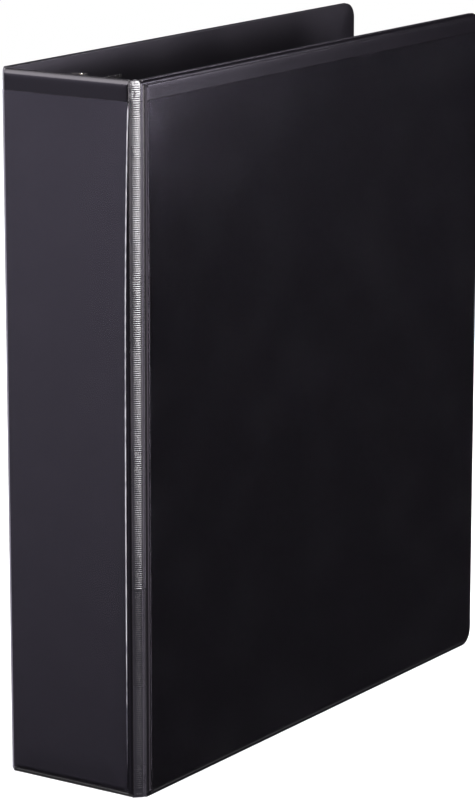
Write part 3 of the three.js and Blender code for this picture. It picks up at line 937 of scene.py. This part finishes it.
def arc(centre, radius, start, end):
    """Points of an arc in the ring's plane, given as (up, out)."""
    return [
        (centre[0] + radius * math.cos(angle), centre[1] + radius * math.sin(angle))
        for angle in (start + (end - start) * step / bend_steps for step in range(bend_steps + 1))
    ]


def straight_path():
    """The post half from its tip down to its foot."""
    bend_centre = (ring_top - post_bend, post_offset - post_bend)
    tip = (ring_top, tip_meet + tip_gap / 2)
    lead = (ring_top, tip_meet + tip_gap / 2 + tip_lead)
    foot = (blade_pivot_height + foot_height_above_pivot, post_offset)
    return [tip, lead] + arc(bend_centre, post_bend, 0, math.pi / 2) + [foot]


def curved_path():
    """The bellied half from its tip down to its foot."""
    upper = (belly_height, belly_radius - belly_offset)
    drop = belly_height - blade_pivot_height
    reach = belly_offset - foot_offset
    lower_radius = (drop**2 + reach**2 - foot_run**2) / (2 * reach)
    lower = (belly_height, lower_radius - belly_offset)
    slant = math.atan2(drop, lower_radius - reach) - math.atan2(foot_run, lower_radius)
    tip = (ring_top, tip_meet - tip_gap / 2)
    lead = (ring_top, tip_meet - tip_gap / 2 - tip_lead)
    foot = (blade_pivot_height + foot_height_above_pivot, -foot_offset)
    upper_bend = arc(upper, belly_radius, 0, -math.pi / 2)
    lower_bend = arc(lower, lower_radius, -math.pi / 2, -math.pi / 2 - slant)
    return [tip, lead] + upper_bend + lower_bend[1:] + [foot]


def tip_faces():
    """Quads across the V of the tip, with a triangle at each end of its two slopes."""
    quarter = wire_sides // 4
    faces = []
    for start, turn in ((quarter, 1), (-quarter, -1)):
        for side in range(quarter):
            upper = ((start - turn * side) % wire_sides, (start - turn * (side + 1)) % wire_sides)
            lower = ((start + turn * side) % wire_sides, (start + turn * (side + 1)) % wire_sides)
            if side:
                faces.append((upper[0], lower[0], lower[1], upper[1]))
            else:
                faces.append((upper[0], lower[1], upper[1]))
    return faces


def ring_half(name, path, station, material):
    """Round wire along path, with the V of its tip at the start and a staked foot at the end."""
    points = [Vector((up, out)) for up, out in path]
    points = [
        point
        for index, point in enumerate(points)
        if index == 0 or (point - points[index - 1]).length > shortest_step
    ]
    vertices = []
    for index, point in enumerate(points):
        ahead = points[min(index + 1, len(points) - 1)] - point
        behind = point - points[max(index - 1, 0)]
        along = (ahead.normalized() + behind.normalized()).normalized()
        normal = Vector((-along.y, along.x))
        for side in range(wire_sides):
            angle = 2 * math.pi * side / wire_sides
            across, aside = wire_radius * math.cos(angle), wire_radius * math.sin(angle)
            up, out = point + normal * across
            if index == 0:
                out -= tip_wedge * (1 - abs(aside) / tip_lead)
            vertices.append(housing_foot + Vector((up, out, station + aside)))
    faces = tip_faces()
    for index in range(len(points) - 1):
        here, ahead = index * wire_sides, (index + 1) * wire_sides
        for side in range(wire_sides):
            following = (side + 1) % wire_sides
            faces.append((here + side, here + following, ahead + following, ahead + side))
    foot = (len(points) - 1) * wire_sides
    faces.append(tuple(foot + side for side in range(wire_sides)))
    piece = mesh_piece(name, vertices, faces, material, wire_smooth_angle)
    fix_normals(piece)
    return piece


def fix_normals(piece):
    """Turns every face of a closed mesh outwards."""
    work = bmesh.new()
    work.from_mesh(piece.data)
    bmesh.ops.recalc_face_normals(work, faces=work.faces)
    work.to_mesh(piece.data)
    work.free()


for side, path in (("curved", curved_path()), ("straight", straight_path())):
    for level, station in (("top", ring_pitch), ("middle", 0.0), ("bottom", -ring_pitch)):
        wire = ring_half(f"{side}_wire_{level}", path, station, nickel_plate)
        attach(wire, f"{side}_side")
        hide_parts(f"{side}_ring_{level}")


# ------------------------------------------------------------------ rivets and bushes
# Two tubular rivets hold the ring metal to the back cover. Each has a low domed head outside the
# cover and is flared over the housing's crown, with a steel bush round its shank in between.
rivet_head_radius = 6 * mm
rivet_head_height = 1.3 * mm
rivet_shank_radius = 2.2 * mm
rivet_flare_radius = 3.6 * mm
rivet_flare_height = 0.7 * mm
rivet_crown = 7.05 * mm
rivet_hollow_radius = 1.5 * mm
bush_radius = 0.1 * mm
turning_sides = 48
turned_smooth_angle = 50
dome_fullness = 0.8
dome_degrees = (4, 12, 22, 34, 46, 58, 68, 76, 82)


def rivet_profile(under_head):
    """The turned rivet as (radius, height above the housing's foot), from head to flare."""
    dome = [
        (
            rivet_head_radius * math.sin(angle),
            under_head - rivet_head_height * math.cos(angle) ** dome_fullness,
        )
        for angle in map(math.radians, dome_degrees)
    ]
    rim = [
        (rivet_head_radius - 0.02 * mm, under_head - 0.22 * mm),
        (rivet_head_radius, under_head - 0.12 * mm),
        (rivet_head_radius - 0.1 * mm, under_head),
    ]
    top = rivet_crown + rivet_flare_height
    flare = [
        (rivet_shank_radius, under_head),
        (rivet_shank_radius, rivet_crown),
        (rivet_flare_radius - 0.1 * mm, rivet_crown),
        (rivet_flare_radius, rivet_crown + 0.12 * mm),
        (rivet_flare_radius * 0.97, rivet_crown + 0.32 * mm),
        (rivet_flare_radius * 0.86, rivet_crown + 0.54 * mm),
        (rivet_flare_radius * 0.68, top - 0.04 * mm),
        (rivet_hollow_radius + 0.35 * mm, top),
        (rivet_hollow_radius + 0.1 * mm, top - 0.12 * mm),
        (rivet_hollow_radius, top - 0.4 * mm),
        (rivet_hollow_radius, top - 2.2 * mm),
        (0.1 * mm, top - 2.4 * mm),
    ]
    return dome + rim + flare


for end in ("top", "bottom"):
    rivet_low, rivet_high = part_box(f"{end}_rivet")
    axis_z = (rivet_low.z + rivet_high.z) / 2
    under_head = rivet_low.x + rivet_head_height - housing_foot.x
    axis = Vector((housing_foot.x, housing_foot.y, axis_z))
    turns = [2 * math.pi * turn / turning_sides for turn in range(turning_sides)]
    profile = rivet_profile(under_head)
    vertices = [
        axis + Vector((height, radius * math.cos(angle), radius * math.sin(angle)))
        for radius, height in profile
        for angle in turns
    ]
    faces = ring_faces(turning_sides, len(profile))
    rivet = mesh_piece(
        f"{end}_tubular_rivet", vertices, faces, nickel_plate, turned_smooth_angle
    )
    fix_normals(rivet)
    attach(rivet, "back_cover")
    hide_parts(f"{end}_rivet")
    pressed_copy(
        f"{end}_bush", f"{end}_rivet_post", "back_cover", bright_steel, bush_radius
    )


# ------------------------------------------------------------------ triggers and their pins
# A bent steel thumb lever at each end of the housing turns on a cross pin. Its tongue lifts the
# blades past centre to open the rings, and its hook pulls them shut.
trigger_radius = 0.3 * mm
pin_chamfer = 0.2 * mm
for end in ("top", "bottom"):
    lever_body = f"{end}_trigger_lever"
    pressed_copy(
        f"{end}_thumb_lever", f"{end}_trigger", lever_body, nickel_plate, trigger_radius
    )
    pressed_copy(
        f"{end}_hinge_pin", f"{end}_trigger_pin", "back_cover", bright_steel, pin_chamfer
    )


# ------------------------------------------------------------------ floor, lights and camera
# A pale floor in a dim studio. A tall softbox at the front right draws the highlights on the
# creases, and two small ones beyond the front cover light its near top corner and its bead.
lens, sensor_width = 162, 36
camera_azimuth = math.radians(33.85)
camera_elevation = math.radians(13.12)
camera_distance = 1.5675
aim_point = Vector((-0.0066, 0, 0.1366))
binder_middle = Vector((0, 0, 0.15))
floor_half = 1.5

floor_mesh = bpy.data.meshes.new("floor")
floor_corners = [
    (x * floor_half, y * floor_half, 0) for x, y in ((-1, -1), (1, -1), (1, 1), (-1, 1))
]
floor_mesh.from_pydata(floor_corners, [], [(0, 1, 2, 3)])
floor = bpy.data.objects.new("floor", floor_mesh)
bpy.context.scene.collection.objects.link(floor)
floor_paint, *_ = new_material(
    "floor_paint",
    Roughness=0.9,
    Base_Color=(0.9, 0.9, 0.9, 1),
    Emission_Color=(1, 1, 1, 1),
    Emission_Strength=0.55,
)
floor_mesh.materials.append(floor_paint)
floor.visible_glossy = False
floor.visible_transmission = False
floor.visible_diffuse = False

# Pale flats in a dim room: direction, cosine of the angle at which each ends, how quickly it
# falls off towards there, and its colour.
room_glow = (0.013, 0.012, 0.014)
flats = [
    ((-0.57, -0.79, 0.36), 0.64, 2, (1.03, 1.0, 1.24)),
    ((0.97, 0.2, -0.1), 0.955, 1, (3.0, 2.8, 3.2)),
    ((-0.83, 0.56, -0.1), 0.75, 2, (0.5, 0.48, 0.56)),
    ((0, 0, 1), 0.62, 1, (0.7, 0.69, 0.72)),
    ((0, 0, -1), 0.45, 1, (0.35, 0.35, 0.35)),
]


def studio_world():
    """The flats' light for every surface, and plain white where the camera looks past the binder."""
    world = bpy.data.worlds.new("studio")
    world.use_nodes = True
    tree = world.node_tree
    background = tree.nodes["Background"]
    place = tree.nodes.new("ShaderNodeTexCoord")
    glow = None
    for direction, edge, falloff, colour in flats:
        toward = tree.nodes.new("ShaderNodeVectorMath")
        toward.operation = "DOT_PRODUCT"
        toward.inputs[1].default_value = Vector(direction).normalized()
        tree.links.new(place.outputs["Generated"], toward.inputs[0])
        share = ramp(tree, toward.outputs["Value"], edge, 1.0, 0.0, 1.0)
        lit = tree.nodes.new("ShaderNodeVectorMath")
        lit.operation = "MULTIPLY_ADD"
        tree.links.new(arithmetic(tree, "POWER", share, falloff), lit.inputs[0])
        lit.inputs[1].default_value = colour
        lit.inputs[2].default_value = room_glow
        if glow:
            tree.links.new(glow, lit.inputs[2])
        glow = lit.outputs["Vector"]
    seen = tree.nodes.new("ShaderNodeLightPath")
    mixed = tree.nodes.new("ShaderNodeMix")
    mixed.data_type = "RGBA"
    mixed.inputs["B"].default_value = (1, 1, 1, 1)
    tree.links.new(seen.outputs["Is Camera Ray"], mixed.inputs["Factor"])
    tree.links.new(glow, mixed.inputs["A"])
    tree.links.new(mixed.outputs["Result"], background.inputs["Color"])
    return world


bpy.context.scene.world = studio_world()


def soft_light(name, centre, size, power, colour=(1, 1, 1)):
    """A rectangular softbox at centre that faces the middle of the binder."""
    light = bpy.data.lights.new(name, "AREA")
    light.shape = "RECTANGLE"
    light.size, light.size_y = size
    light.energy = power
    light.color = colour
    holder = bpy.data.objects.new(name, light)
    holder.location = centre
    aim = binder_middle - Vector(centre)
    holder.rotation_mode = "QUATERNION"
    holder.rotation_quaternion = aim.to_track_quat("-Z", "Y")
    bpy.context.scene.collection.objects.link(holder)


soft_light("key_softbox", (2.0, -1.26, 0.62), (0.65, 1.3), 52)
soft_light("front_left_softbox", (-0.9, -1.3, 1.5), (1.2, 0.8), 18)
soft_light("far_right_softbox", (0.597, 0.412, 0.30), (0.25, 0.25), 1.35, (1, 0.96, 1.15))
soft_light("rim_softbox", (0.41, 0.5, 0.56), (0.12, 0.12), 0.8, (1, 0.97, 1.1))
soft_light("overhead_softbox", (0.0, 0.0, 2.2), (2.0, 2.0), 45)

camera_data = bpy.data.cameras.new("camera")
camera_data.lens = lens
camera_data.sensor_width = sensor_width
camera_data.clip_start, camera_data.clip_end = 0.05, 50
camera = bpy.data.objects.new("camera", camera_data)
toward_camera = Vector(
    (
        math.sin(camera_azimuth) * math.cos(camera_elevation),
        -math.cos(camera_azimuth) * math.cos(camera_elevation),
        math.sin(camera_elevation),
    )
)
camera.location = aim_point + toward_camera * camera_distance
camera.rotation_mode = "QUATERNION"
camera.rotation_quaternion = (-toward_camera).to_track_quat("-Z", "Y")
bpy.context.scene.collection.objects.link(camera)
bpy.context.scene.camera = camera
bpy.context.scene.view_settings.view_transform = "Standard"
